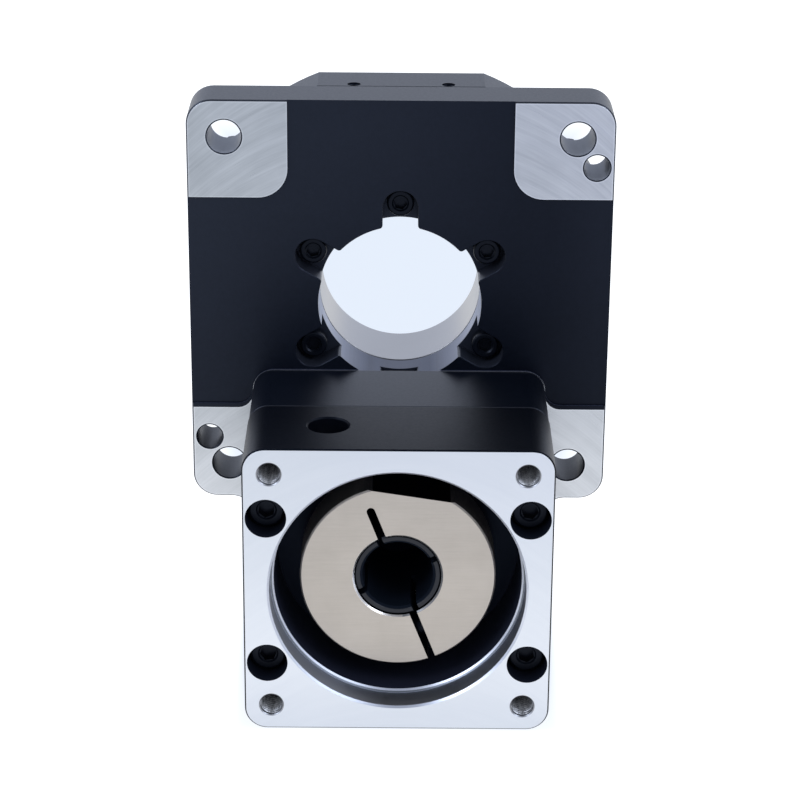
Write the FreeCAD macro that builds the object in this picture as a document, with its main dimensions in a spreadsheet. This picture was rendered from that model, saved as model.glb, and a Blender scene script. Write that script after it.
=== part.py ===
import FreeCAD, Part
import math
import os
import Sketcher

# Hollow rotary platform, 85 mm frame, ratio 5:1, for a 60 mm servo motor.
#
# Frame: the origin is the axis of the hollow at the plane of the base pads. +Y is the
# hollow's axis and points to the rotating table, so the base pads and the motor face
# look along -Y. +Z is up, and the motor mount hangs below the hollow. Millimetres.

os.makedirs("parts", exist_ok=True)
V = FreeCAD.Vector
doc = FreeCAD.newDocument("rotary_platform")
sheet = doc.addObject("Spreadsheet::Sheet", "Dims")

DIMENSIONS = [
    # housing, seen from the base
    ("plate_half", 42.5), ("plate_corner", 5.0), ("plate_thick", 11.2),
    ("body_top", 22.2), ("body_rad", 45.7),
    ("edge_break", 0.3), ("top_break", 0.5),
    ("pad_edge", 22.5), ("pad_corner", 6.0), ("recess_deep", 0.45),
    ("seat_half", 29.92), ("seat_corner", 4.3), ("seat_fillet", 3.2), ("seat_top", 14.24),
    ("mount_half", 35.0), ("mount_rad", 3.4), ("hole_break", 0.15), ("spot_rad", 6.3), ("spot_floor", 11.7),
    ("aux_across", 38.97), ("aux_up", 29.12), ("aux_rad", 2.6),
    ("ext_half", 30.0), ("ext_low", 74.2), ("ext_corner", 5.0), ("ext_fillet", 4.7),
    ("hollow_rad", 16.5), ("web_top", 11.5), ("cavity_floor", 9.0),
    ("cavity_rad", 39.2), ("boss_rad", 24.4),
    ("pocket_half", 3.55), ("pocket_deep", 6.8), ("hub_pitch", 20.3), ("mouth_round", 0.8), ("mouth_break", 0.12),
    ("side_half", 9.5), ("side_depth", 12.6), ("side_rad", 1.34), ("side_long", 3.8),
    # gear pair
    ("centre_dist", 44.16), ("ring_teeth", 70), ("pinion_teeth", 14),
    ("gear_low", 10.4), ("gear_high", 20.4), ("pressure_deg", 20.0), ("tooth_slack", 0.04),
    # crossed roller bearing between hub and ring gear
    ("roller_pitch", 26.5), ("roller_level", 16.0), ("race_side", 3.0),
    ("roller_dia", 2.94), ("roller_long", 2.88), ("roller_count", 36),
    ("hub_rad", 25.7), ("hub_shoulder", 20.6), ("neck_rad", 24.2),
    ("race_in", 27.3), ("race_out", 34.0),
    # table
    ("table_low", 22.6), ("table_top", 28.0), ("table_in", 24.6), ("table_rad", 40.0),
    ("table_pitch", 31.0), ("load_rad", 1.77), ("dowel_rad", 2.0), ("table_break", 0.4),
    # motor mount, along its own axis
    ("flange_face", 41.85), ("flange_back", 19.55), ("flange_half", 30.0), ("flange_corner", 4.5),
    ("block_half", 29.84), ("block_corner", 4.1),
    ("pilot_rad", 25.0), ("pilot_deep", 5.75), ("pilot_break", 0.4), ("bell_rad", 24.33), ("bell_break", 0.6),
    ("motor_half", 24.7485), ("motor_thread", 2.24), ("motor_csk", 2.45), ("motor_deep", 14.0),
    ("screw_across", 25.47), ("screw_up", 15.51), ("sink_rad", 4.0), ("sink_deep", 8.0),
    ("access_across", 13.7), ("access_deep", 12.2), ("access_rad", 4.0),
    # input shaft and collar
    ("collar_rad", 19.25), ("collar_front", 34.6), ("collar_back", 24.4),
    ("collar_turn", 111.1), ("slit_wide", 1.55), ("relief_wide", 1.67), ("relief_end", 15.65),
    ("flat_off", 17.27), ("flat_turn", -29.7),
    ("sleeve_rad", 8.6), ("sleeve_front", 34.1), ("shaft_bore", 7.0),
    ("slot_wide", 1.25), ("slot_turn", 26.5), ("slot_end", 21.0),
]
for row, (alias, value) in enumerate(DIMENSIONS, start=1):
    sheet.set("A%d" % row, alias)
    sheet.set("B%d" % row, repr(value))
    sheet.setAlias("B%d" % row, alias)
doc.recompute()


class Q:
    """A size from the sheet: its number, and the expression that gives it."""

    def __init__(self, v, e):
        self.v, self.e = float(v), e

    @staticmethod
    def of(o):
        return o if isinstance(o, Q) else Q(o, "(%r)" % float(o))

    def __add__(self, o):
        o = Q.of(o)
        return Q(self.v + o.v, "(%s + %s)" % (self.e, o.e))

    def __sub__(self, o):
        o = Q.of(o)
        return Q(self.v - o.v, "(%s - %s)" % (self.e, o.e))

    def __mul__(self, o):
        o = Q.of(o)
        return Q(self.v * o.v, "(%s * %s)" % (self.e, o.e))

    def __truediv__(self, o):
        o = Q.of(o)
        return Q(self.v / o.v, "(%s / %s)" % (self.e, o.e))

    def __neg__(self):
        return Q(-self.v, "(-1 * %s)" % self.e)

    def __radd__(self, o):
        return Q.of(o) + self

    def __rsub__(self, o):
        return Q.of(o) - self

    def __rmul__(self, o):
        return Q.of(o) * self


class Dims:
    pass


D = Dims()
for alias, value in DIMENSIONS:
    setattr(D, alias, Q(value, "Dims.%s" % alias))


def num(q):
    return q.v if isinstance(q, Q) else float(q)


def tie(obj, prop, q):
    """Binds a property to the sheet when its size comes from there."""
    if isinstance(q, Q):
        obj.setExpression(prop, q.e)


# ---- sketch and feature helpers -------------------------------------------------

def body(label, up=None, turn=None):
    """A part with its own label. up drops it to the motor's axis, and turn is its angle
    about the part's own Y axis, counted from +X towards +Z."""
    b = doc.addObject("PartDesign::Body", "body_" + label)
    b.Label = label
    place(b, up, turn)
    return b


def place(obj, up=None, turn=None):
    obj.Placement = FreeCAD.Placement(V(0, 0, num(up or 0)), FreeCAD.Rotation(V(0, -1, 0), num(turn or 0)))
    if up is not None:
        tie(obj, "Placement.Base.z", up)
    if turn is not None:
        tie(obj, "Placement.Rotation.Angle", turn)


def origin(b, role):
    return next(f for f in b.Origin.OriginFeatures if f.Role == role)


def sketch(b, role, off=0.0, turn=0.0):
    sk = b.newObject("Sketcher::SketchObject", "Sketch")
    sk.AttachmentSupport = [(origin(b, role), "")]
    sk.MapMode = "FlatFace"
    sk.AttachmentOffset = FreeCAD.Placement(V(0, 0, num(off)), FreeCAD.Rotation(V(0, 0, 1), num(turn)))
    tie(sk, "AttachmentOffset.Base.z", off)
    tie(sk, "AttachmentOffset.Rotation.Angle", turn)
    return sk


def face_sketch(b, level=0.0, turn=0.0):
    """A sketch across the hollow's axis at Y = level: its x is X and its y is Z."""
    off = -level if isinstance(level, Q) else -float(level)
    return sketch(b, "XZ_Plane", off, turn)


def pin(sk, geo, pos, x, y):
    for kind, axis, q in (("DistanceX", -2, x), ("DistanceY", -1, y)):
        if abs(num(q)) < 1e-9:
            sk.addConstraint(Sketcher.Constraint("PointOnObject", geo, pos, axis))
        else:
            i = sk.addConstraint(Sketcher.Constraint(kind, -1, 1, geo, pos, num(q)))
            tie(sk, "Constraints[%d]" % i, q)


def circle(sk, x, y, r):
    g = sk.addGeometry(Part.Circle(V(num(x), num(y), 0), V(0, 0, 1), num(r)))
    pin(sk, g, 3, x, y)
    i = sk.addConstraint(Sketcher.Constraint("Radius", g, num(r)))
    tie(sk, "Constraints[%d]" % i, r)


def outline(sk, start, steps):
    """A closed outline. A step is (x, y) for a line, or (x, y, r, way) for an arc of
    radius r to that point, way 1 for anticlockwise and -1 for clockwise."""
    here, ends = start, []
    for step in steps:
        a, c = V(num(here[0]), num(here[1]), 0), V(num(step[0]), num(step[1]), 0)
        if len(step) == 2:
            ends.append((sk.addGeometry(Part.LineSegment(a, c)), 1, 2, step))
        else:
            r, way = num(step[2]), step[3]
            half = (c - a).Length / 2.0
            side = V(-(c - a).y, (c - a).x, 0).normalize() * way
            mid = (a + c) * 0.5 + side * math.sqrt(max(r * r - half * half, 0.0))
            a0 = math.atan2(a.y - mid.y, a.x - mid.x)
            a1 = math.atan2(c.y - mid.y, c.x - mid.x)
            if way < 0:
                a0, a1 = a1, a0
            g = sk.addGeometry(Part.ArcOfCircle(Part.Circle(mid, V(0, 0, 1), r), a0, a1 if a1 > a0 else a1 + 2 * math.pi))
            i = sk.addConstraint(Sketcher.Constraint("Radius", g, r))
            tie(sk, "Constraints[%d]" % i, step[2])
            ends.append((g, 1, 2, step) if way > 0 else (g, 2, 1, step))
        here = step
    for k, (g, _, end, step) in enumerate(ends):
        after = ends[(k + 1) % len(ends)]
        sk.addConstraint(Sketcher.Constraint("Coincident", g, end, after[0], after[1]))
        pin(sk, g, end, step[0], step[1])


def box_outline(sk, x0, y0, x1, y1):
    outline(sk, (x0, y0), [(x1, y0), (x1, y1), (x0, y1), (x0, y0)])


def pad(b, sk, length, flip=True):
    f = b.newObject("PartDesign::Pad", "Pad")
    f.Profile = sk
    f.Length = num(length)
    tie(f, "Length", length)
    f.Reversed = flip
    sk.Visibility = False
    return f


def cut(b, sk, length, flip=False):
    """Cuts along +Y from a face sketch, or down from a flat one. It must remove material."""
    doc.recompute()
    before = b.Shape.Volume
    f = b.newObject("PartDesign::Pocket", "Pocket")
    f.Profile = sk
    f.Length = num(length)
    tie(f, "Length", length)
    f.Reversed = flip
    doc.recompute()
    if not b.Shape.Volume < before - 1e-4:
        raise RuntimeError("a pocket of %s cuts nothing" % b.Label)
    return f


def spin(b, sk):
    """Turns a half section, x the radius and y the place along Y, about the Y axis."""
    f = b.newObject("PartDesign::Revolution", "Revolution")
    f.Profile = sk
    f.ReferenceAxis = (origin(b, "Y_Axis"), [""])
    f.Angle = 360.0
    return f


def around(b, feats, count, angle=360.0):
    doc.recompute()
    before = b.Shape.Volume
    f = b.newObject("PartDesign::PolarPattern", "PolarPattern")
    f.Originals = feats
    f.Axis = (origin(b, "Y_Axis"), [""])
    f.Angle = angle
    f.Occurrences = int(num(count))
    tie(f, "Occurrences", count)
    b.Tip = f
    doc.recompute()
    if abs(b.Shape.Volume - before) < 1e-4:
        raise RuntimeError("a pattern of %s changes nothing" % b.Label)
    return f


def dress(b, kind, size, test):
    """Rounds or breaks the edges that a test picks from the body as it stands."""
    doc.recompute()
    base = b.Tip
    names = ["Edge%d" % (i + 1) for i, e in enumerate(base.Shape.Edges) if test(e)]
    if not names:
        raise RuntimeError("no edge of %s fits the %s" % (b.Label, kind))
    f = b.newObject("PartDesign::" + kind, kind)
    f.Base = (base, names)
    prop = "Radius" if kind == "Fillet" else "Size"
    setattr(f, prop, num(size))
    tie(f, prop, size)
    doc.recompute()
    return f


def ring_body(label, steps, up=None, turn=None):
    """A turned part from its half section."""
    b = body(label, up, turn)
    sk = sketch(b, "XY_Plane")
    outline(sk, steps[-1], steps)
    spin(b, sk)
    doc.recompute()
    return b


def at_level(e, level, tol=1e-4):
    return all(abs(p.Point.y - level) < tol for p in e.Vertexes) and abs(e.BoundBox.YLength) < tol


def along_y(e, tol=1e-4):
    return e.BoundBox.XLength < tol and e.BoundBox.ZLength < tol


# ---- housing ---------------------------------------------------------------------

H = body("housing")
low = -D.ext_low

# base plate with the motor-side extension below it
sk = face_sketch(H)
c, e = D.plate_corner, D.ext_corner
outline(sk, (D.ext_half, -D.plate_half - D.ext_fillet), [
    (D.ext_half + D.ext_fillet, -D.plate_half, D.ext_fillet, -1),
    (D.plate_half - c, -D.plate_half),
    (D.plate_half, -D.plate_half + c, c, 1),
    (D.plate_half, D.plate_half - c),
    (D.plate_half - c, D.plate_half, c, 1),
    (-D.plate_half + c, D.plate_half),
    (-D.plate_half, D.plate_half - c, c, 1),
    (-D.plate_half, -D.plate_half + c),
    (-D.plate_half + c, -D.plate_half, c, 1),
    (-D.ext_half - D.ext_fillet, -D.plate_half),
    (-D.ext_half, -D.plate_half - D.ext_fillet, D.ext_fillet, -1),
    (-D.ext_half, low + e),
    (-D.ext_half + e, low, e, 1),
    (D.ext_half - e, low),
    (D.ext_half, low + e, e, 1),
    (D.ext_half, -D.plate_half - D.ext_fillet),
])
pad(H, sk, D.plate_thick)
dress(H, "Chamfer", D.edge_break, lambda g: at_level(g, 0.0) or (at_level(g, D.plate_thick.v) and g.BoundBox.ZMin > -42.6))

# upper body: a disc trimmed by the plate's square, running into the extension
flat = math.sqrt(D.body_rad.v ** 2 - D.plate_half.v ** 2)
flat_q = Q(flat, "(sqrt(Dims.body_rad ^ 2 - Dims.plate_half ^ 2))")
drop = math.sqrt(D.body_rad.v ** 2 - D.ext_half.v ** 2)
drop_q = Q(drop, "(sqrt(Dims.body_rad ^ 2 - Dims.ext_half ^ 2))")
sk = face_sketch(H, D.plate_thick)
outline(sk, (D.ext_half, -drop_q), [
    (D.plate_half, -flat_q, D.body_rad, 1),
    (D.plate_half, flat_q),
    (flat_q, D.plate_half, D.body_rad, 1),
    (-flat_q, D.plate_half),
    (-D.plate_half, flat_q, D.body_rad, 1),
    (-D.plate_half, -flat_q),
    (-D.ext_half, -drop_q, D.body_rad, 1),
    (-D.ext_half, low + e),
    (-D.ext_half + e, low, e, 1),
    (D.ext_half - e, low),
    (D.ext_half, low + e, e, 1),
    (D.ext_half, -drop_q),
])
pad(H, sk, D.body_top - D.plate_thick)
dress(H, "Chamfer", D.top_break, lambda g: at_level(g, D.body_top.v))

# black recess between the bare pads, and the raised seat of the motor block
out = D.plate_half + 1.0
pe, pc = D.pad_edge, D.pad_corner
sh, sc, sf, st = D.seat_half, D.seat_corner, D.seat_fillet, -D.seat_top
turn_z = st - sc
sk = face_sketch(H)
outline(sk, (-pe, out), [
    (-pe, pe + pc),
    (-pe - pc, pe, pc, -1),
    (-out, pe),
    (-out, turn_z - sf),
    (-sh - sf, turn_z - sf),
    (-sh, turn_z, sf, 1),
    (-sh + sc, st, sc, -1),
    (sh - sc, st),
    (sh, turn_z, sc, -1),
    (sh + sf, turn_z - sf, sf, 1),
    (out, turn_z - sf),
    (out, pe),
    (pe + pc, pe),
    (pe, pe + pc, pc, -1),
    (pe, out),
    (-pe, out),
])
cut(H, sk, D.recess_deep)

# the hollow, the gear cavity and the seat of the hub
sk = face_sketch(H, -1.0)
circle(sk, 0, 0, D.hollow_rad)
cut(H, sk, D.body_top + 2.0)
sk = face_sketch(H, D.cavity_floor)
circle(sk, 0, 0, D.cavity_rad)
circle(sk, 0, 0, D.boss_rad)
cut(H, sk, D.web_top - D.cavity_floor)
sk = face_sketch(H, D.web_top)
circle(sk, 0, 0, D.cavity_rad)
cut(H, sk, D.body_top - D.web_top + 1.0)

# rear bearing's seat, its relief and the pinion's room, on the motor's axis
for rad, level, deep in ((13.0, -1.0, 8.0), (11.6, 7.0, 0.6), (9.4, 7.6, 13.3)):
    sk = face_sketch(H, level)
    circle(sk, 0, -D.centre_dist, rad)
    cut(H, sk, deep)

# fixing holes in the corners, with spot faces cut down into the body behind them
sk = face_sketch(H, -1.0)
for sx in (1, -1):
    for sz in (1, -1):
        circle(sk, sx * D.mount_half, sz * D.mount_half, D.mount_rad)
cut(H, sk, D.body_top + 2.0)
sk = face_sketch(H, D.spot_floor)
for sx in (1, -1):
    for sz in (1, -1):
        circle(sk, sx * D.mount_half, sz * D.mount_half, D.spot_rad)
cut(H, sk, D.body_top - D.spot_floor + 1.0)
sk = face_sketch(H, -1.0)
for s in (1, -1):
    circle(sk, s * D.aux_across, s * D.aux_up, D.aux_rad)
cut(H, sk, D.body_top + 2.0)

dress(H, "Chamfer", D.hole_break, lambda g: at_level(g, 0.0) and len(g.Vertexes) == 1 and g.BoundBox.XLength < 7.5)

# tapped holes for the motor mount's long screws
sk = face_sketch(H, -0.5)
for sx in (1, -1):
    for sz in (1, -1):
        circle(sk, sx * D.screw_across, -D.centre_dist + sz * D.screw_up, 2.0)
cut(H, sk, 8.5)

# six pockets open to the hollow, for the screws that hold the hub
ph = D.pocket_half
sk = face_sketch(H, -1.0)
outline(sk, (-ph, 12.0), [
    (ph, 12.0), (ph, D.hub_pitch), (0, D.hub_pitch + ph, ph, 1), (-ph, D.hub_pitch, ph, 1), (-ph, 12.0),
])
first = cut(H, sk, D.pocket_deep + 1.0)
around(H, [first], 6)
dress(H, "Fillet", D.mouth_round, lambda g: along_y(g) and abs(math.hypot(g.Vertexes[0].X, g.Vertexes[0].Z) - 16.5) < 0.01 and g.Length < 7.5)
mb = ph + D.mouth_break
sk = face_sketch(H, D.recess_deep)
outline(sk, (-mb, 12.0), [
    (mb, 12.0), (mb, D.hub_pitch), (0, D.hub_pitch + mb, mb, 1), (-mb, D.hub_pitch, mb, 1), (-mb, 12.0),
])
first = cut(H, sk, D.mouth_break)
first.TaperAngle = -45.0
doc.recompute()
around(H, [first], 6)
sk = face_sketch(H, D.pocket_deep - 0.5)
circle(sk, 0, D.hub_pitch, 1.7)
first = cut(H, sk, 6.0)
around(H, [first], 6)

# two tapped holes in the upper side
sk = sketch(H, "XY_Plane", D.plate_half)
for s in (1, -1):
    circle(sk, s * D.side_half, D.side_depth, D.side_rad)
cut(H, sk, D.side_long)

# ---- hub and crossed roller bearing ------------------------------------------------

half_v = Q(D.race_side.v / math.sqrt(2), "(Dims.race_side / sqrt(2))")
apex_in = D.roller_pitch - half_v
apex_out = D.roller_pitch + half_v
mid = D.roller_level
vin = D.hub_rad - apex_in
vout = apex_out - D.race_in
hub = ring_body("hub", [
    (D.hub_rad - 0.5, D.web_top),
    (D.hub_rad, D.web_top + 0.5),
    (D.hub_rad, mid - vin),
    (apex_in, mid),
    (D.hub_rad, mid + vin),
    (D.hub_rad, D.hub_shoulder),
    (D.neck_rad, D.hub_shoulder),
    (D.neck_rad, D.table_top - 0.3),
    (D.neck_rad - 0.3, D.table_top),
    (D.hollow_rad + 0.4, D.table_top),
    (D.hollow_rad, D.table_top - 0.4),
    (D.hollow_rad, D.web_top + 0.7),
    (D.hollow_rad + 0.3, D.web_top + 0.4),
    (D.hollow_rad + 1.6, D.web_top + 0.4),
    (D.hollow_rad + 2.0, D.web_top),
])
sk = face_sketch(hub, D.web_top - 0.5)
circle(sk, 0, D.hub_pitch, 1.5)
first = cut(hub, sk, 8.5)
around(hub, [first], 6)

race = ring_body("outer_race_ring", [
    (D.race_out, mid),
    (D.race_out, D.table_low),
    (D.race_in, D.table_low),
    (D.race_in, mid + vout),
    (apex_out, mid),
])
sk = face_sketch(race, mid - 0.5)
circle(sk, D.table_pitch, 0, 1.6)
first = cut(race, sk, 8.0)
around(race, [first], 6)

# ---- table ---------------------------------------------------------------------------

tb = D.table_break
table = ring_body("table", [
    (D.table_in, D.table_low),
    (D.table_rad - tb, D.table_low),
    (D.table_rad, D.table_low + tb),
    (D.table_rad, D.table_top - tb),
    (D.table_rad - tb, D.table_top),
    (D.table_in + 0.3, D.table_top),
    (D.table_in, D.table_top - 0.3),
])
sk = face_sketch(table, D.table_low - 0.5)
circle(sk, D.table_pitch, 0, 1.6)
first = cut(table, sk, 7.0)
# countersinks of the six table screws, turned in the section through one screw
around(table, [first], 6)
sk = sketch(table, "XY_Plane")
outline(sk, (D.table_pitch, D.table_top + 0.2), [
    (D.table_pitch, D.table_top - 2.45),
    (D.table_pitch + 1.0, D.table_top - 2.45),
    (D.table_pitch + 3.0, D.table_top - 0.45),
    (D.table_pitch + 3.0, D.table_top + 0.2),
    (D.table_pitch, D.table_top + 0.2),
])
sink = table.newObject("PartDesign::Groove", "Groove")
sink.Profile = sk
sink.ReferenceAxis = (sk, ["Edge1"])
sink.Angle = 360.0
around(table, [sink], 6)
# six tapped holes for the load between the screws, and one dowel hole
sk = face_sketch(table, D.table_low - 0.5, 30.0)
circle(sk, D.table_pitch, 0, D.load_rad)
first = cut(table, sk, 7.0)
around(table, [first], 6)
sk = face_sketch(table, D.table_low - 0.5, 15.0)
circle(sk, D.table_pitch, 0, D.dowel_rad)
cut(table, sk, 7.0)

# ---- seals ---------------------------------------------------------------------------

ring_body("table_seal", [
    (D.race_out + 0.2, 21.1), (D.race_out + 0.9, 21.3), (D.race_out + 1.4, 20.9), (D.cavity_rad, 20.9),
    (D.cavity_rad, D.body_top), (D.race_out + 1.4, D.body_top), (D.race_out + 0.9, 21.8), (D.race_out + 0.2, 22.0),
])
ring_body("hub_seal", [
    (D.neck_rad, 20.8), (26.0, 20.8), (26.2, 21.4), (26.9, 22.4), (26.4, 22.4), (25.7, 21.7), (D.neck_rad, 21.9),
])

# ---- motor mount -----------------------------------------------------------------------

axis_low = -D.centre_dist


def square(b, half, corner, y0, length):
    sk = face_sketch(b, y0)
    h, c = half, corner
    outline(sk, (h, -h + c), [
        (h, h - c), (h - c, h, c, 1), (-h + c, h), (-h, h - c, c, 1),
        (-h, -h + c), (-h + c, -h, c, 1), (h - c, -h), (h, -h + c, c, 1),
    ])
    return pad(b, sk, length)


def bore(b, rad, y0, length, x=0, z=0):
    sk = face_sketch(b, y0)
    circle(sk, x, z, rad)
    return cut(b, sk, length)


def four(b, rad, y0, length, x, z):
    sk = face_sketch(b, y0)
    for sx in (1, -1):
        for sz in (1, -1):
            circle(sk, sx * x, sz * z, rad)
    return cut(b, sk, length)


# rear layer: carries the front bearing, and its spigot holds the rear one in the housing
block = body("bearing_block", axis_low)
square(block, D.block_half, D.block_corner, -D.flange_back, D.flange_back)
dress(block, "Chamfer", 0.3, lambda g: at_level(g, -D.flange_back.v))
sk = face_sketch(block, -0.5)
circle(sk, 0, 0, 12.95)
pad(block, sk, 2.5)
bore(block, 16.0, -D.flange_back - 0.5, D.flange_back - 7.0 + 0.5)
bore(block, 17.0, -15.3, 1.3)
bore(block, 12.5, -7.5, 6.5)
bore(block, 11.8, -1.5, 4.0)
four(block, 2.15, -D.flange_back - 0.5, D.flange_back + 1.0, D.screw_across, D.screw_up)

# front layer: motor face with its pilot, threads and deep counterbores
flange = body("motor_flange", axis_low)
square(flange, D.flange_half, D.flange_corner, -D.flange_face, D.flange_face - D.flange_back)
dress(flange, "Chamfer", 0.3, lambda g: at_level(g, -D.flange_face.v) or at_level(g, -D.flange_back.v))
bore(flange, D.pilot_rad, -D.flange_face - 0.5, D.pilot_deep + 0.5)
bore(flange, D.bell_rad, -D.flange_face + D.pilot_deep - 0.2, D.flange_face - D.flange_back - D.pilot_deep + 0.7)
dress(flange, "Chamfer", D.pilot_break, lambda g: at_level(g, -D.flange_face.v) and abs(g.BoundBox.XMax - D.pilot_rad.v) < 0.01)
dress(flange, "Chamfer", D.bell_break, lambda g: at_level(g, D.pilot_deep.v - D.flange_face.v) and abs(g.BoundBox.XMax - D.bell_rad.v) < 0.01)
four(flange, D.motor_thread, -D.flange_face - 0.5, D.motor_deep + 0.5, D.motor_half, D.motor_half)
dress(flange, "Chamfer", D.motor_csk - D.motor_thread, lambda g: at_level(g, -D.flange_face.v) and abs(g.BoundBox.XLength - 2 * D.motor_thread.v) < 0.01)
four(flange, D.sink_rad, -D.flange_face - 0.5, D.sink_deep + 0.5, D.screw_across, D.screw_up)
four(flange, 2.15, -D.flange_face + D.sink_deep - 0.5, D.flange_face - D.flange_back, D.screw_across, D.screw_up)
sk = sketch(flange, "XY_Plane", D.flange_half + 0.5)
circle(sk, -D.access_across, -D.flange_face + D.access_deep, D.access_rad)
cut(flange, sk, 14.0)
dress(flange, "Chamfer", 0.3, lambda g: len(g.Vertexes) == 1 and abs(g.Vertexes[0].Z - D.flange_half.v) < 1e-3 and g.BoundBox.ZLength < 1e-3)

# ---- input shaft and clamp collar ----------------------------------------------------------

sl, sb = D.sleeve_rad, D.shaft_bore
front = -D.sleeve_front
shaft = ring_body("input_shaft", [
    (sl - 0.35, front), (sl, front + 0.35), (sl, -20.0), (10.0, -20.0), (10.0, -15.3), (9.5, -15.3), (9.5, -14.0),
    (10.0, -14.0), (10.0, -7.0), (11.3, -7.0), (11.3, -3.0), (9.6, -3.0), (9.6, 2.0), (8.5, 2.0), (8.5, 7.05),
    (7.8, 7.05), (7.8, 8.15), (8.4, 8.15), (8.4, 9.4), (4.5, 9.4), (4.5, D.gear_high - 0.3), (4.2, D.gear_high),
    (0.0, D.gear_high), (0.0, -6.5), (sb, -8.0), (sb, front + 0.5), (sb + 0.5, front),
], axis_low)
sk = face_sketch(shaft, front - 0.5, D.slot_turn)
box_outline(sk, -9.5, -D.slot_wide / 2, 9.5, D.slot_wide / 2)
first = cut(shaft, sk, D.sleeve_front - D.slot_end + 0.5)
around(shaft, [first], 2, 90.0)

# The collar is drawn as it is clamped, with its slit along -X and its screw upright, and
# is then turned to where it stands.
collar = body("clamp_collar", axis_low, D.collar_turn)
sk = face_sketch(collar, -D.collar_front)
circle(sk, 0, 0, D.collar_rad)
circle(sk, 0, 0, sl)
pad(collar, sk, D.collar_front - D.collar_back)
dress(collar, "Chamfer", 0.3, lambda g: at_level(g, -D.collar_front.v) or at_level(g, -D.collar_back.v))
sk = face_sketch(collar, -D.collar_front - 0.5)
box_outline(sk, -D.collar_rad - 1.0, -D.slit_wide / 2, -7.0, D.slit_wide / 2)
cut(collar, sk, 14.0)
sk = face_sketch(collar, -D.collar_front - 0.5)
rw = D.relief_wide / 2
outline(sk, (7.0, -rw), [(D.relief_end - rw, -rw), (D.relief_end, 0, rw, 1), (D.relief_end - rw, rw, rw, 1), (7.0, rw), (7.0, -rw)])
cut(collar, sk, 14.0)
sk = face_sketch(collar, -D.collar_front - 0.5, D.flat_turn)
box_outline(sk, D.flat_off, -12.0, D.collar_rad + 1.0, 12.0)
cut(collar, sk, 14.0)
level = -D.flange_face + D.access_deep
for rad, high, deep in ((3.75, 19.5, 14.0), (2.15, 6.0, 6.0), (2.0, 0.5, 11.0)):
    sk = sketch(collar, "XY_Plane", high)
    circle(sk, -D.access_across, level, rad)
    cut(collar, sk, deep)

# ---- ball bearings of the input shaft --------------------------------------------------------


def bearing(tag, mid_y, half, r_in, r_out, land_in, land_out, pitch, groove, up):
    dy_in = math.sqrt(groove ** 2 - (pitch - land_in) ** 2)
    dy_out = math.sqrt(groove ** 2 - (land_out - pitch) ** 2)
    lo, hi = mid_y - half, mid_y + half
    ring_body(tag + "_inner_ring", [
        (land_in, lo), (land_in, mid_y - dy_in), (land_in, mid_y + dy_in, groove, -1), (land_in, hi),
        (r_in + 0.2, hi), (r_in, hi - 0.2), (r_in, lo + 0.2), (r_in + 0.2, lo),
    ], up)
    ring_body(tag + "_outer_ring", [
        (r_out - 0.2, lo), (r_out, lo + 0.2), (r_out, hi - 0.2), (r_out - 0.2, hi), (land_out, hi),
        (land_out, mid_y + dy_out), (land_out, mid_y - dy_out, groove, -1), (land_out, lo),
    ], up)


bearing("front_bearing", -10.5, 3.5, 10.0, 16.0, 11.9, 14.1, 13.0, 2.06, axis_low)
bearing("rear_bearing", 4.5, 2.5, 8.5, 13.0, 10.0, 11.5, 10.75, 1.45, axis_low)


def feature(label, shape, up=None, turn=None):
    """A part whose shape is set directly, from the sheet's sizes. Its place comes last."""
    f = doc.addObject("Part::Feature", "shape_" + label)
    f.Label = label
    f.Shape = shape
    place(f, up, turn)
    return f


def size(alias):
    return float(getattr(sheet, alias))


def tube(r0, r1, y0, y1):
    """A plain ring about the Y axis."""
    a = Part.makeCylinder(r1, y1 - y0, V(0, y0, 0), V(0, 1, 0))
    return a.cut(Part.makeCylinder(r0, y1 - y0 + 2, V(0, y0 - 1, 0), V(0, 1, 0)))


def turned(shape, deg):
    """Turned about the Y axis, from +X towards +Z."""
    s = shape.copy()
    s.rotate(V(0, 0, 0), V(0, -1, 0), deg)
    return s


def balls_and_cage(tag, mid_y, pitch, ball, count, c0, c1, half):
    spheres = []
    for k in range(count):
        a = 2 * math.pi * k / count
        spheres.append((pitch * math.cos(a), pitch * math.sin(a)))
    made = [Part.makeSphere(ball, V(x, mid_y, z)) for x, z in spheres]
    feature(tag + "_balls", Part.makeCompound(made), axis_low)
    room = []
    for x, z in spheres:
        out = V(x, 0, z).normalize()
        room.append(Part.makeCylinder(ball + 0.07, 2 * ball, V(x, mid_y, z) - out * ball, out))
    feature(tag + "_cage", tube(c0, c1, mid_y - half, mid_y + half).cut(room), axis_low)


balls_and_cage("front_bearing", -10.5, 13.0, 1.95, 9, 12.2, 13.8, 2.7)
balls_and_cage("rear_bearing", 4.5, 10.75, 1.36, 13, 10.2, 11.3, 1.9)
feature("front_bearing_shields", Part.makeCompound([tube(12.0, 14.1, -13.8, -13.5), tube(12.0, 14.1, -7.5, -7.2)]), axis_low)
feature("rear_bearing_shields", Part.makeCompound([tube(10.1, 11.5, 2.1, 2.35), tube(10.1, 11.5, 6.65, 6.9)]), axis_low)

# ---- retaining rings -----------------------------------------------------------------------


def clip(label, r0, r1, y0, y1, gap, lug, inward):
    """A retaining ring: open over a gap, with an eyelet at each end."""
    c = tube(r0, r1, y0, y1)
    wedge = Part.makeBox(2 * r1, y1 - y0 + 2, gap, V(0, y0 - 1, -gap / 2))
    c = c.cut(wedge)
    for s in (1, -1):
        r = r0 - 0.2 if inward else r1 + 0.1
        z = s * (gap / 2 + lug)
        x = math.sqrt(r * r - z * z)
        eye = Part.makeCylinder(lug, y1 - y0, V(x, y0, z), V(0, 1, 0))
        c = c.fuse(eye).cut(Part.makeCylinder(lug * 0.45, y1 - y0 + 2, V(x, y0 - 1, z), V(0, 1, 0)))
    return feature(label, c.removeSplitter(), axis_low)


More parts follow.
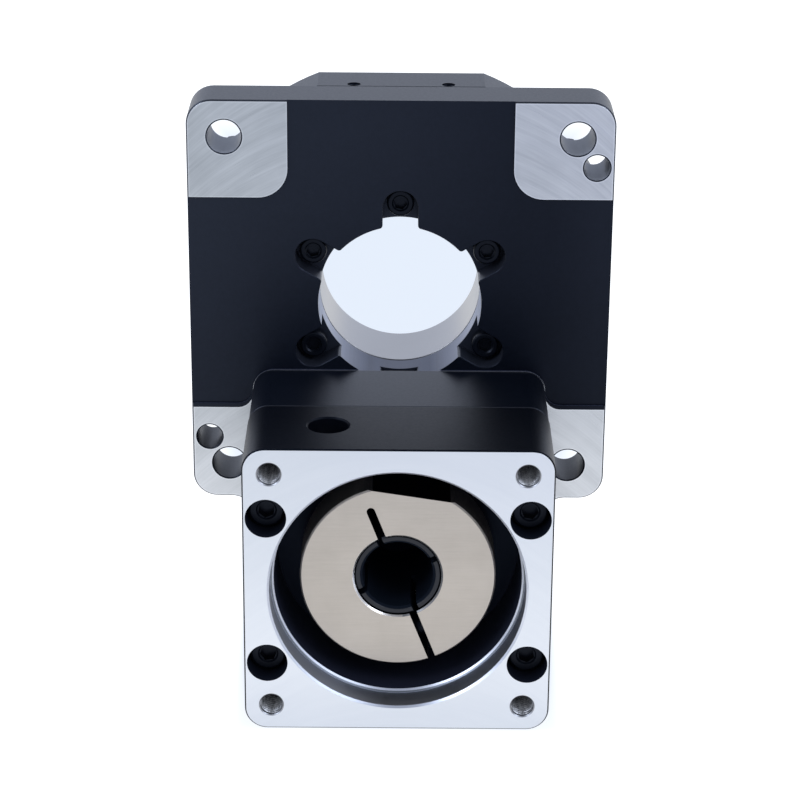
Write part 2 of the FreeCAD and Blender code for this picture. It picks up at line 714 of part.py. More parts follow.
clip("bearing_circlip", 14.7, 16.95, -15.27, -14.03, 5.0, 1.1, True)
clip("shaft_circlip", 9.55, 11.4, -15.27, -14.03, 2.6, 0.9, False)
clip("pinion_circlip", 7.85, 8.6, 7.1, 8.1, 3.0, 0.4, False)

# ---- gears -----------------------------------------------------------------------------------


def gear_face(teeth, module, tip, root, first_deg, slack):
    """An involute gear's outline as a closed face across the Y axis."""
    rp = module * teeth / 2.0
    alpha = math.radians(size("pressure_deg"))
    rb = rp * math.cos(alpha)
    inv = math.tan(alpha) - alpha
    half_thick = (math.pi * module / 2.0 - slack) / (2.0 * rp)
    lowest = max(rb, root)
    radii = [lowest + (tip - lowest) * k / 4.0 for k in range(5)]
    flank = []
    if root < rb:
        flank.append((root, half_thick + inv))
    for r in radii:
        t = math.acos(min(1.0, rb / r))
        flank.append((r, half_thick + inv - (math.tan(t) - t)))
    points = []
    for k in range(teeth):
        centre = math.radians(first_deg) + 2 * math.pi * k / teeth
        for r, a in flank:
            points.append((r, centre - a))
        for r, a in reversed(flank):
            points.append((r, centre + a))
    pts = [V(r * math.cos(a), 0, r * math.sin(a)) for r, a in points]
    return Part.Face(Part.makePolygon(pts + [pts[0]]))


module = 2 * size("centre_dist") / (size("ring_teeth") + size("pinion_teeth"))
g0, g1 = size("gear_low"), size("gear_high")
ring_rp = module * size("ring_teeth") / 2
pin_rp = module * size("pinion_teeth") / 2
ring_face = gear_face(int(size("ring_teeth")), module, ring_rp + 0.8 * module, ring_rp - 1.25 * module, -90.0, size("tooth_slack"))
ring_face.translate(V(0, g0, 0))
ring = ring_face.extrude(V(0, g1 - g0, 0))
ap = size("roller_pitch") + size("race_side") / math.sqrt(2)
ri, ro, lv = size("race_in"), size("race_out"), size("roller_level")
void_pts = [V(0, g0 - 1, 0), V(ri, g0 - 1, 0), V(ri, lv - (ap - ri), 0), V(ap, lv, 0), V(ro, lv, 0), V(ro, g1 + 1, 0), V(0, g1 + 1, 0)]
void = Part.Face(Part.makePolygon(void_pts + [void_pts[0]])).revolve(V(0, 0, 0), V(0, 1, 0), 360)
ring = ring.cut(void)
tapped = []
for k in range(6):
    a = math.radians(60 * k)
    rp = size("table_pitch")
    tapped.append(Part.makeCylinder(1.5, lv - g0 + 2, V(rp * math.cos(a), g0 - 1, rp * math.sin(a)), V(0, 1, 0)))
feature("ring_gear", ring.cut(tapped))

pin_face = gear_face(int(size("pinion_teeth")), module, pin_rp + module, pin_rp - 1.05 * module, 90.0 + 180.0 / size("pinion_teeth"), size("tooth_slack"))
pin_face.translate(V(0, g0, 0))
pinion = pin_face.extrude(V(0, g1 - g0, 0)).fuse(tube(4.5, 6.2, 9.4, g0 + 1)).cut(Part.makeCylinder(4.5, 14, V(0, 8, 0), V(0, 1, 0)))
feature("pinion", pinion, axis_low)

# ---- crossed rollers and their cage --------------------------------------------------------------


def roller(dia, long, k, count):
    lean = 45.0 if k % 2 else -45.0
    s = Part.makeCylinder(dia / 2, long, V(0, -long / 2, 0), V(0, 1, 0))
    s.rotate(V(0, 0, 0), V(0, 0, 1), lean)
    s.translate(V(size("roller_pitch"), lv, 0))
    return turned(s, 360.0 * k / count)


count = int(size("roller_count"))
feature("cross_rollers", Part.makeCompound([roller(size("roller_dia"), size("roller_long"), k, count) for k in range(count)]))
feature("roller_cage", tube(25.9, 27.1, lv - 2.8, lv + 2.8).cut([roller(3.1, 3.1, k, count) for k in range(count)]))

# ---- screws --------------------------------------------------------------------------------------


def hexagon(flats, depth, y0):
    r = flats / math.sqrt(3)
    pts = [V(r * math.cos(math.radians(60 * k)), y0, r * math.sin(math.radians(60 * k))) for k in range(7)]
    return Part.Face(Part.makePolygon(pts)).extrude(V(0, depth, 0))


def screw_master(name, head_r, head_h, shank_r, long, flats, deep, flat_head=False):
    """One screw along +Y with its head's seat at Y = 0; a flat head's top is at Y = 0."""
    b = doc.addObject("PartDesign::Body", "master_" + name)
    sk = sketch(b, "XY_Plane")
    tip = 0.4
    if flat_head:
        steps = [(0, long), (0, 0), (head_r, 0), (head_r, 0.2), (shank_r, 0.2 + head_r - shank_r), (shank_r, long - tip), (shank_r - tip, long), (0, long)]
        top = 0.0
    else:
        steps = [(0, long), (0, -head_h), (head_r - 0.45, -head_h), (head_r, -head_h + 0.45, 0.45, 1), (head_r, 0), (shank_r, 0), (shank_r, long - tip), (shank_r - tip, long), (0, long)]
        top = -head_h
    outline(sk, steps[0], steps[1:])
    spin(b, sk)
    sk = face_sketch(b, top - 0.5)
    r = flats / math.sqrt(3)
    pts = [(r * math.cos(math.radians(60 * k)), r * math.sin(math.radians(60 * k))) for k in range(6)]
    outline(sk, pts[0], pts[1:] + [pts[0]])
    cut(b, sk, deep + 0.5)
    # the socket's mouth is countersunk
    sk = face_sketch(b, top)
    circle(sk, 0, 0, r + 0.3)
    mouth = cut(b, sk, 0.3)
    mouth.TaperAngle = -45.0
    doc.recompute()
    return b


def set_of(label, master, places, up=None, turn=None, flip=False):
    """Identical screws in one part, each its own solid, on the places (x, y, z, angle)."""
    made = []
    for x, y, z, a in places:
        s = master.Shape.copy()
        if flip:
            s.rotate(V(0, 0, 0), V(0, 0, 1), 180.0)
        s.rotate(V(0, 0, 0), V(0, 1, 0), a)
        s.translate(V(x, y, z))
        made.append(s)
    return feature(label, Part.makeCompound(made), up, turn)


def ring_of(pitch, level, first_deg, turns):
    return [(pitch * math.cos(math.radians(first_deg + 60 * k)), level, pitch * math.sin(math.radians(first_deg + 60 * k)), turns[k]) for k in range(6)]


m3 = screw_master("m3", 2.75, 3.0, 1.48, 12.0, 2.5, 1.5)
set_of("hub_screws", m3, ring_of(size("hub_pitch"), size("pocket_deep"), 90.0, (12, 47, 5, 33, 21, 52)))
m4 = screw_master("m4", 3.5, 4.0, 1.98, 40.0, 3.0, 2.0)
su, sx4 = size("screw_up"), size("screw_across")
seat = -size("flange_face") + size("sink_deep")
set_of("mount_screws", m4, [(sx4, seat, su, 10), (-sx4, seat, su, 38), (sx4, seat, -su, 22), (-sx4, seat, -su, 51)], axis_low)
flat3 = screw_master("flat3", 2.9, 0, 1.48, 16.0, 2.0, 1.2, True)
set_of("table_screws", flat3, ring_of(size("table_pitch"), size("table_top") - 0.2, 0.0, (8, 31, 55, 17, 42, 3)), flip=True)

# The collar's screw lies across its slit: upright in the collar's own frame, head up.
m4c = screw_master("m4c", 3.5, 4.0, 1.98, 14.0, 3.0, 2.0)
s = m4c.Shape.copy()
s.rotate(V(0, 0, 0), V(1, 0, 0), -90.0)
s.translate(V(-size("access_across"), -size("flange_face") + size("access_deep"), 5.5))
feature("clamp_screw", Part.makeCompound([s]), axis_low, D.collar_turn)

# ---- checks and files ------------------------------------------------------------------------------

doc.recompute()
parts = []
for obj in doc.Objects:
    if any(word in obj.State for word in ("Invalid", "Error")):
        raise RuntimeError("%s (%s) has failed: %s" % (obj.Name, obj.Label, obj.State))
    if obj.Name.startswith(("body_", "shape_")):
        parts.append(obj)
for obj in parts:
    shape = obj.Shape
    if shape.isNull() or not shape.isValid() or not shape.Solids:
        raise RuntimeError("%s has no valid shape" % obj.Label)
    if any(s.Volume <= 0 for s in shape.Solids):
        raise RuntimeError("%s has an inside-out solid" % obj.Label)
for obj in parts:
    obj.Shape.exportStep(os.path.join("parts", obj.Label + ".step"))
    print("%-24s %3d solid(s) %10.1f mm3" % (obj.Label, len(obj.Shape.Solids), obj.Shape.Volume))
print(len(parts), "parts")
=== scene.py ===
import math

import bmesh
import bpy
from mathutils import Matrix, Vector


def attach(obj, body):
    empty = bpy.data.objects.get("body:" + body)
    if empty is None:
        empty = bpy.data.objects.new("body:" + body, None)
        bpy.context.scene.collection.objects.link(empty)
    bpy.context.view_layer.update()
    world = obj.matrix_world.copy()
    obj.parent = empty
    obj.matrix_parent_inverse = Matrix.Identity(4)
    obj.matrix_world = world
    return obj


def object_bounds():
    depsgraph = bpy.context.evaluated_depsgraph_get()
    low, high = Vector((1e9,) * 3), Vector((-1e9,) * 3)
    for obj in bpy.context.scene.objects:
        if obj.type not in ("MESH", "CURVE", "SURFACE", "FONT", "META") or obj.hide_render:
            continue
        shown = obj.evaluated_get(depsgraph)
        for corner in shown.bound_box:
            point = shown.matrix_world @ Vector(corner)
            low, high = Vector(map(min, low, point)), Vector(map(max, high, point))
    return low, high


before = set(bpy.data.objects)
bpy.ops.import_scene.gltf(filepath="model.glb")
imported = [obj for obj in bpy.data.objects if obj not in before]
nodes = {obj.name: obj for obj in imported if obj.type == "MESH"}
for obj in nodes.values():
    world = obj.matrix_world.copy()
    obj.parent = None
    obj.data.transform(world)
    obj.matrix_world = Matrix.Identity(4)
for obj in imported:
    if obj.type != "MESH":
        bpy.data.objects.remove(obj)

cad_lo, cad_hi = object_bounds()
MM = 0.001
AXIS_Z = -0.04416          # the motor mount's axis

# ---------------------------------------------------------------- camera

cam_data = bpy.data.cameras.new("camera")
cam_data.sensor_width = 36.0
cam_data.lens = 118.763
cam_data.clip_start, cam_data.clip_end = 0.02, 60.0
cam = bpy.data.objects.new("camera", cam_data)
bpy.context.scene.collection.objects.link(cam)
turn = Matrix(((0.999971, -0.007475, -0.001294), (0.001590, 0.373231, -0.927737), (0.007418, 0.927708, 0.373232)))
cam.matrix_world = Matrix.Translation(Vector((-0.000488, -0.502716, 0.181497))) @ turn.to_4x4()
bpy.context.scene.camera = cam

# ---------------------------------------------------------------- floor and light

scene = bpy.context.scene
scene.view_settings.view_transform = "Standard"
scene.view_settings.look = "None"
scene.view_settings.exposure = 0.0
scene.view_settings.gamma = 1.0


def new_mat(name):
    m = bpy.data.materials.new(name)
    m.use_nodes = True
    nt = m.node_tree
    for n in list(nt.nodes):
        nt.nodes.remove(n)
    out = nt.nodes.new("ShaderNodeOutputMaterial")
    bsdf = nt.nodes.new("ShaderNodeBsdfPrincipled")
    nt.links.new(bsdf.outputs[0], out.inputs[0])
    return m, nt, bsdf


mesh = bpy.data.meshes.new("floor")
floor_z = cad_lo.z
mesh.from_pydata([(-9, -9, floor_z), (9, -9, floor_z), (9, 9, floor_z), (-9, 9, floor_z)], [], [(0, 1, 2, 3)])
floor = bpy.data.objects.new("floor", mesh)
scene.collection.objects.link(floor)
fm, nt, bsdf = new_mat("floor_paper")
bsdf.inputs["Base Color"].default_value = (0.20, 0.20, 0.20, 1)
bsdf.inputs["Roughness"].default_value = 0.9
bsdf.inputs["Specular IOR Level"].default_value = 0.0
bsdf.inputs["Emission Strength"].default_value = 1.0
where = nt.nodes.new("ShaderNodeTexCoord")
split = nt.nodes.new("ShaderNodeSeparateXYZ")
nt.links.new(where.outputs["Object"], split.inputs[0])


def ramp(value, lo, hi, a, b):
    n = nt.nodes.new("ShaderNodeMapRange")
    n.interpolation_type = "SMOOTHSTEP"
    nt.links.new(value, n.inputs[0])
    for k, v in enumerate((lo, hi, a, b)):
        n.inputs[k + 1].default_value = v
    return n.outputs[0]


def calc(op, a, b=None):
    n = nt.nodes.new("ShaderNodeMath")
    n.operation = op
    for k, v in enumerate((a, b)):
        if isinstance(v, bpy.types.NodeSocket):
            nt.links.new(v, n.inputs[k])
        elif v is not None:
            n.inputs[k].default_value = v
    return n.outputs[0]


def blend(fac, a, b):
    n = nt.nodes.new("ShaderNodeMix")
    n.data_type = "RGBA"
    for k, v in ((0, fac), (6, a), (7, b)):
        if isinstance(v, bpy.types.NodeSocket):
            nt.links.new(v, n.inputs[k])
        else:
            n.inputs[k].default_value = v
    return n.outputs[2]


fx, fy = split.outputs[0], split.outputs[1]
# painted light and shade on the glowing floor: dimmer and bluer far in front, a painted bright band just in front of
# the part, and darker under it
far = blend(ramp(fx, -0.05, 0.05, 0.0, 1.0), (0.50, 0.550, 0.590, 1), (0.640, 0.680, 0.860, 1))
near = blend(ramp(fy, -0.07, -0.05, 0.0, 1.0), (1.08, 1.10, 1.12, 1), (0.91, 0.94, 0.985, 1))
half = blend(ramp(fy, -0.12, -0.085, 0.0, 1.0), (0.90, 0.93, 0.965, 1), near)
front = blend(ramp(fy, -0.33, -0.12, 0.0, 1.0), far, half)
# painted shadow: a dim bluish patch on the floor behind the part, where the floor shows through the hollow
spread = calc("DIVIDE", calc("ABSOLUTE", fx), calc("ADD", fy, 0.503))
wide = calc("MAXIMUM", ramp(spread, 0.062, 0.084, 0.0, 1.0), ramp(fy, 0.36, 0.43, 0.0, 1.0))
painted_shadow_behind = blend(wide, (0.640, 0.700, 0.785, 1), (1.17, 1.19, 1.22, 1))
paper = blend(ramp(fy, -0.055, 0.0, 0.0, 1.0), front, painted_shadow_behind)
# painted light: the floor beside the flange is painted bright white where the part's shadow would fall
painted_light_beside = calc("MULTIPLY", ramp(calc("ABSOLUTE", fx), 0.0305, 0.0365, 0.0, 1.0), ramp(fy, -0.072, -0.052, 0.0, 1.0))
painted_light_beside = calc("MULTIPLY", painted_light_beside, ramp(fy, 0.06, 0.10, 1.0, 0.0))
nt.links.new(blend(painted_light_beside, paper, (1.19, 1.20, 1.23, 1)), bsdf.inputs["Emission Color"])
floor.data.materials.append(fm)

world = bpy.data.worlds.new("studio")
scene.world = world
world.use_nodes = True
wt = world.node_tree
bg = wt.nodes["Background"]
bg.inputs["Color"].default_value = (0.865, 0.935, 1.105, 1)
wc = wt.nodes.new("ShaderNodeTexCoord")
ws = wt.nodes.new("ShaderNodeSeparateXYZ")
wm = wt.nodes.new("ShaderNodeMapRange")
wt.links.new(wc.outputs["Generated"], ws.inputs[0])
wt.links.new(ws.outputs[1], wm.inputs[0])
for k, v in enumerate((0.3, 0.9, 0.62, 1.13)):
    wm.inputs[k + 1].default_value = v
wz = wt.nodes.new("ShaderNodeMapRange")
wt.links.new(ws.outputs[2], wz.inputs[0])
for k, v in enumerate((0.74, 0.90, 1.0, 0.45)):
    wz.inputs[k + 1].default_value = v
wx = wt.nodes.new("ShaderNodeMath")
wx.operation = "MULTIPLY"
wt.links.new(wm.outputs[0], wx.inputs[0])
wt.links.new(wz.outputs[0], wx.inputs[1])
wt.links.new(wx.outputs[0], bg.inputs["Strength"])


def area(name, where, at, size, power, colour=(1, 1, 1)):
    data = bpy.data.lights.new(name, "AREA")
    data.shape = "RECTANGLE"
    data.size, data.size_y = size
    data.energy = power
    data.color = colour
    o = bpy.data.objects.new(name, data)
    scene.collection.objects.link(o)
    o.location = where
    o.rotation_mode = "QUATERNION"
    o.rotation_quaternion = (Vector(at) - Vector(where)).to_track_quat("-Z", "Y")
    return o


area("left_box", (-0.89, -0.46, 0.88), (0, 0, 0), (0.62, 0.45), 3.4, (0.84, 0.93, 1.10))
area("right_box", (0.93, -0.47, 0.85), (0, 0, 0), (1.14, 0.45), 6.0, (0.84, 0.93, 1.10))
area("left_soft", (-1.0, -0.30, 0.75), (0, 0, -0.02), (0.8, 0.9), 2.5, (0.84, 0.93, 1.10))

# ---------------------------------------------------------------- node tools


class Tree:
    """Short names for shader nodes."""

    def __init__(self, nt):
        self.nt = nt
        self.coord = nt.nodes.new("ShaderNodeTexCoord")
        self.pos = self.coord.outputs["Object"]
        self.normal = self.coord.outputs["Normal"]
        sep = nt.nodes.new("ShaderNodeSeparateXYZ")
        nt.links.new(self.pos, sep.inputs[0])
        self.x, self.y, self.z = sep.outputs
        nsep = nt.nodes.new("ShaderNodeSeparateXYZ")
        nt.links.new(self.normal, nsep.inputs[0])
        self.nx, self.ny, self.nz = nsep.outputs

    def plug(self, socket, value):
        if isinstance(value, bpy.types.NodeSocket):
            self.nt.links.new(value, socket)
        elif value is not None:
            socket.default_value = value

    def math(self, op, a, b=None, clamp=False):
        n = self.nt.nodes.new("ShaderNodeMath")
        n.operation = op
        n.use_clamp = clamp
        self.plug(n.inputs[0], a)
        if b is not None:
            self.plug(n.inputs[1], b)
        return n.outputs[0]

    def add(self, a, b): return self.math("ADD", a, b)
    def sub(self, a, b): return self.math("SUBTRACT", a, b)
    def mul(self, a, b): return self.math("MULTIPLY", a, b)
    def less(self, a, b): return self.math("LESS_THAN", a, b)
    def more(self, a, b): return self.math("GREATER_THAN", a, b)
    def both(self, a, b): return self.math("MULTIPLY", a, b)
    def either(self, a, b): return self.math("MAXIMUM", a, b)
    def invert(self, a): return self.math("SUBTRACT", 1.0, a)

    def radius(self, dx=0.0, dz=0.0):
        x = self.sub(self.x, dx)
        z = self.sub(self.z, dz)
        return self.math("SQRT", self.add(self.mul(x, x), self.mul(z, z)))

    def mix(self, fac, a, b):
        n = self.nt.nodes.new("ShaderNodeMix")
        n.data_type = "RGBA"
        self.plug(n.inputs[0], fac)
        self.plug(n.inputs[6], a)
        self.plug(n.inputs[7], b)
        return n.outputs[2]

    def mixf(self, fac, a, b):
        n = self.nt.nodes.new("ShaderNodeMix")
        n.data_type = "FLOAT"
        self.plug(n.inputs[0], fac)
        self.plug(n.inputs[2], a)
        self.plug(n.inputs[3], b)
        return n.outputs[0]

    def combine(self, x, y, z):
        n = self.nt.nodes.new("ShaderNodeCombineXYZ")
        self.plug(n.inputs[0], x)
        self.plug(n.inputs[1], y)
        self.plug(n.inputs[2], z)
        return n.outputs[0]

    def noise(self, vec, scale, detail=2.0, rough=0.5, distortion=0.0):
        n = self.nt.nodes.new("ShaderNodeTexNoise")
        self.plug(n.inputs["Vector"], vec)
        n.inputs["Scale"].default_value = scale
        n.inputs["Detail"].default_value = detail
        n.inputs["Roughness"].default_value = rough
        n.inputs["Distortion"].default_value = distortion
        return n.outputs["Fac"]

    def span(self, v, lo, hi, a, b):
        n = self.nt.nodes.new("ShaderNodeMapRange")
        n.clamp = True
        self.plug(n.inputs[0], v)
        n.inputs[1].default_value = lo
        n.inputs[2].default_value = hi
        n.inputs[3].default_value = a
        n.inputs[4].default_value = b
        return n.outputs[0]

    def bump(self, height, strength, distance, normal=None):
        n = self.nt.nodes.new("ShaderNodeBump")
        n.inputs["Strength"].default_value = strength
        n.inputs["Distance"].default_value = distance
        self.plug(n.inputs["Height"], height)
        if normal is not None:
            self.plug(n.inputs["Normal"], normal)
        return n.outputs[0]


def black_fields(t, k=1.0):
    """Colour, roughness and fine grain height of black anodised aluminium, with the colour painted lighter on the left
    and darker on the right as painted light and shade.
    """
    cloud = t.noise(t.pos, 60.0, 3.0, 0.55)
    grain = t.noise(t.pos, 11000.0, 2.0, 0.6)
    # painted light and shade: the black is lighter on the left and darker on the right
    painted_side_shade = t.span(t.x, -0.035, 0.035, 0.0, 1.0)
    spots = t.span(t.noise(t.pos, 1300.0, 3.0, 0.6), 0.3, 0.7, 0.0, 1.0)
    fac = t.mixf(0.6, t.span(cloud, 0.3, 0.7, 0.0, 1.0), spots)
    left = t.mix(fac, (0.0017 * k, 0.0028 * k, 0.0062 * k, 1), (0.0040 * k, 0.0058 * k, 0.0112 * k, 1))
    right = t.mix(fac, (0.0008 * k, 0.0015 * k, 0.0034 * k, 1), (0.0023 * k, 0.0034 * k, 0.0069 * k, 1))
    colour = t.mix(painted_side_shade, left, right)
    rough = t.span(t.noise(t.pos, 1600.0, 2.0), 0.3, 0.7, 0.37, 0.41)
    return colour, rough, grain


def black_spec(t, bsdf, k=1.0, ior=1.6):
    bsdf.inputs["IOR"].default_value = ior
    # painted light: the reflection's tint is stronger on the left and weaker on the right
    tone = t.mix(t.span(t.x, -0.035, 0.035, 0.0, 1.0), (0.285 * k, 0.325 * k, 0.43 * k, 1), (0.185 * k, 0.215 * k, 0.30 * k, 1))
    t.nt.links.new(tone, bsdf.inputs["Specular Tint"])
    return tone


def milled(t, reach):
    """Arcs left by a wide cutter fed along Z: the same arc, repeated at each feed."""
    arc = t.math("SQRT", t.math("MAXIMUM", t.sub(reach * reach, t.mul(t.x, t.x)), 1e-8))
    s = t.sub(t.z, arc)
    along = t.mul(t.x, 0.08)
    broad = t.span(t.noise(t.combine(s, along, 0.0), 420.0, 2.0, 0.6), 0.32, 0.68, 0.0, 1.0)
    line = t.span(t.noise(t.combine(s, t.mul(along, 0.6), 3.0), 1700.0, 3.0, 0.7), 0.3, 0.7, 0.0, 1.0)
    return broad, line


def corner_distance(t, centre, radius):
    """How far inside a rounded corner a point lies, in metres."""
    ax = t.math("MAXIMUM", t.sub(t.math("ABSOLUTE", t.x), centre), 0.0)
    az = t.math("MAXIMUM", t.sub(t.math("ABSOLUTE", t.z), centre), 0.0)
    return t.sub(radius, t.math("SQRT", t.add(t.mul(ax, ax), t.mul(az, az))))


def pad_distance(t):
    """How far a point of a pad lies from the recess's edge."""
    bx = t.math("MAXIMUM", t.sub(28.5 * MM, t.math("ABSOLUTE", t.x)), 0.0)
    bz = t.math("MAXIMUM", t.sub(28.5 * MM, t.math("ABSOLUTE", t.z)), 0.0)
    return t.sub(6.0 * MM, t.math("SQRT", t.add(t.mul(bx, bx), t.mul(bz, bz))))


def low_pad_distance(t):
    """How far below the black field a point of a lower pad lies."""
    dx = t.math("MAXIMUM", t.sub(33.12 * MM, t.math("ABSOLUTE", t.x)), 0.0)
    dz = t.math("MAXIMUM", t.sub(-19.4 * MM, t.z), 0.0)
    return t.sub(t.math("SQRT", t.add(t.mul(dx, dx), t.mul(dz, dz))), 3.2 * MM)


def housing_material():
    m, nt, bsdf = new_mat("black_anodised_with_bare_pads")
    t = Tree(nt)
    edge = t.both(t.less(t.y, 0.00034), t.less(corner_distance(t, 37.5 * MM, 5.0 * MM), 0.0004))
    face = t.less(t.y, 0.00002)
    in_bore = t.both(t.less(t.radius(), 0.01653), t.less(t.y, 0.0116))
    black, black_rough, grain = black_fields(t)
    # holes through the pads: a dark rim, and a wall that shows a little bare metal
    hole = None
    for hx, hz, r in ((35.0, 35.0, 3.4), (-35.0, 35.0, 3.4), (35.0, -35.0, 3.4), (-35.0, -35.0, 3.4),
                      (38.97, 29.12, 2.6), (-38.97, -29.12, 2.6)):
        d = t.sub(t.radius(hx * MM, hz * MM), r * MM)
        hole = d if hole is None else t.math("MINIMUM", hole, d)
    low_pad = low_pad_distance(t)
    upper = t.more(t.z, 0.0)
    pads = t.both(face, t.either(upper, t.more(low_pad, 0.0)))
    bare = t.either(t.both(pads, t.more(hole, 0.00027)), in_bore)
    wall_mask = t.both(t.less(hole, 0.00002), t.more(t.z, 0.0))
    bare = t.either(bare, t.mul(wall_mask, 0.36))
    # painted highlight: the chamfer round the plate's outer edge is painted a paler black
    black = t.mix(t.both(edge, t.invert(face)), black, (0.024, 0.025, 0.029, 1))
    # painted light: the narrow step at the edge of the lower pads is painted a paler, bluer black so that it does not
    # read as a dark line
    step = t.both(t.both(t.more(t.y, 0.00002), t.less(t.y, 0.00043)), t.both(t.less(t.z, 0.0), t.more(hole, 0.0004)))
    step = t.both(step, t.more(corner_distance(t, 37.5 * MM, 5.0 * MM), 0.0005))
    black = t.mix(step, black, (0.030, 0.034, 0.056, 1))
    # painted light: the pockets round the bore are painted a paler, bluer black than the face
    pocket = t.both(t.both(t.more(t.y, 0.0006), t.less(t.y, 0.0080)), t.less(t.radius(), 0.0290))
    black = t.mix(pocket, black, (0.0180, 0.0208, 0.0300, 1))
    broad, line = milled(t, 0.060)
    cloud = t.noise(t.pos, 55.0, 3.0, 0.6)
    tone = t.add(t.mul(broad, 0.27), t.add(t.mul(line, 0.36), t.mul(t.span(cloud, 0.3, 0.7, 0.0, 1.0), 0.37)))
    # painted light and shade: the upper pads are painted darker, the lower pads lighter towards the bottom, most on
    # the left
    low = t.mixf(t.more(t.x, 0.0), t.span(t.z, -0.041, -0.024, 0.22, -0.32), t.span(t.z, -0.041, -0.024, 0.06, -0.02))
    tone = t.add(tone, t.mixf(t.less(t.z, 0.0), -0.20, low))
    silver = t.mix(tone, (0.445, 0.460, 0.478, 1), (0.685, 0.700, 0.722, 1))
    # burnished rims of the pads and of the holes in them, also painted paler as a painted highlight along the edges
    rim = t.math("MINIMUM", t.mixf(upper, low_pad, pad_distance(t)), corner_distance(t, 37.5 * MM, 4.7 * MM))
    rim = t.math("MINIMUM", rim, t.sub(hole, 0.00027))
    rim = t.span(rim, 0.00012, 0.00026, 1.0, 0.0)
    silver = t.mix(t.mul(rim, 0.42), silver, (0.76, 0.78, 0.81, 1))
    lathe = t.span(t.noise(t.combine(t.y, 0.0, 0.0), 5200.0, 3.0, 0.65), 0.3, 0.7, 0.0, 1.0)
    wall = t.mix(t.mixf(0.5, lathe, cloud), (0.190, 0.188, 0.190, 1), (0.265, 0.262, 0.265, 1))
    side_wall = t.mix(t.mixf(0.5, lathe, cloud), (0.70, 0.69, 0.69, 1), (0.86, 0.85, 0.85, 1))
    # painted shade: the bore's wall is painted far darker at its bottom than at its sides
    wall = t.mix(t.span(t.z, -0.0153, -0.0070, 0.0, 1.0), wall, side_wall)
    silver = t.mix(in_bore, silver, wall)
    silver_rough = t.span(line, 0.0, 1.0, 0.27, 0.38)
    nt.links.new(t.mix(bare, black, silver), bsdf.inputs["Base Color"])
    nt.links.new(bare, bsdf.inputs["Metallic"])
    nt.links.new(t.mixf(bare, black_rough, silver_rough), bsdf.inputs["Roughness"])
    # painted light: the black face's reflection is made stronger towards its top and its outer edges
    spec = black_spec(t, bsdf, 1.696)
    lift = t.mul(t.span(t.z, -0.018, 0.036, 0.80, 1.30), t.span(t.x, -0.040, -0.026, 1.12, 1.0))
    lift = t.mul(lift, t.mul(t.span(t.x, 0.0, 0.024, 1.0, 0.80), t.span(t.x, 0.030, 0.040, 1.0, 1.42)))
    lift = t.mixf(t.less(t.y, 0.0006), 0.625, t.mul(lift, 0.625))
    nt.links.new(t.mix(lift, (0.0, 0.0, 0.0, 1), spec), bsdf.inputs["Specular Tint"])
    height = t.mixf(bare, grain, t.mixf(in_bore, t.mixf(0.5, broad, line), lathe))
    nt.links.new(t.bump(height, 0.18, 0.00002), bsdf.inputs["Normal"])
    return m


def black_material(name="black_anodised", k=1.0, worn=False):
    m, nt, bsdf = new_mat(name)
    t = Tree(nt)
    colour, rough, grain = black_fields(t)
    if worn:
        # edge wear and a painted highlight: the block's front edge at the joint is painted a paler black
        wear_and_highlight = t.span(t.noise(t.pos, 900.0, 2.0), 0.3, 0.7, 0.6, 1.0)
        colour = t.mix(t.mul(t.less(t.y, -0.01927), wear_and_highlight), colour, (0.024, 0.025, 0.029, 1))
        # painted light: the block's face inside the flange's bell is painted a paler, bluer black, with a weaker
        # reflection
        inner = t.both(t.less(t.y, -0.0150), t.less(t.radius(0.0, AXIS_Z), 0.0246))
        colour = t.mix(inner, colour, (0.0085, 0.0105, 0.0180, 1))
    nt.links.new(colour, bsdf.inputs["Base Color"])
    nt.links.new(rough, bsdf.inputs["Roughness"])
    tone = black_spec(t, bsdf, k)
    if worn:
        nt.links.new(t.mix(inner, tone, (0.10, 0.13, 0.20, 1)), bsdf.inputs["Specular Tint"])
    nt.links.new(t.bump(grain, 0.18, 0.00002), bsdf.inputs["Normal"])
    return m


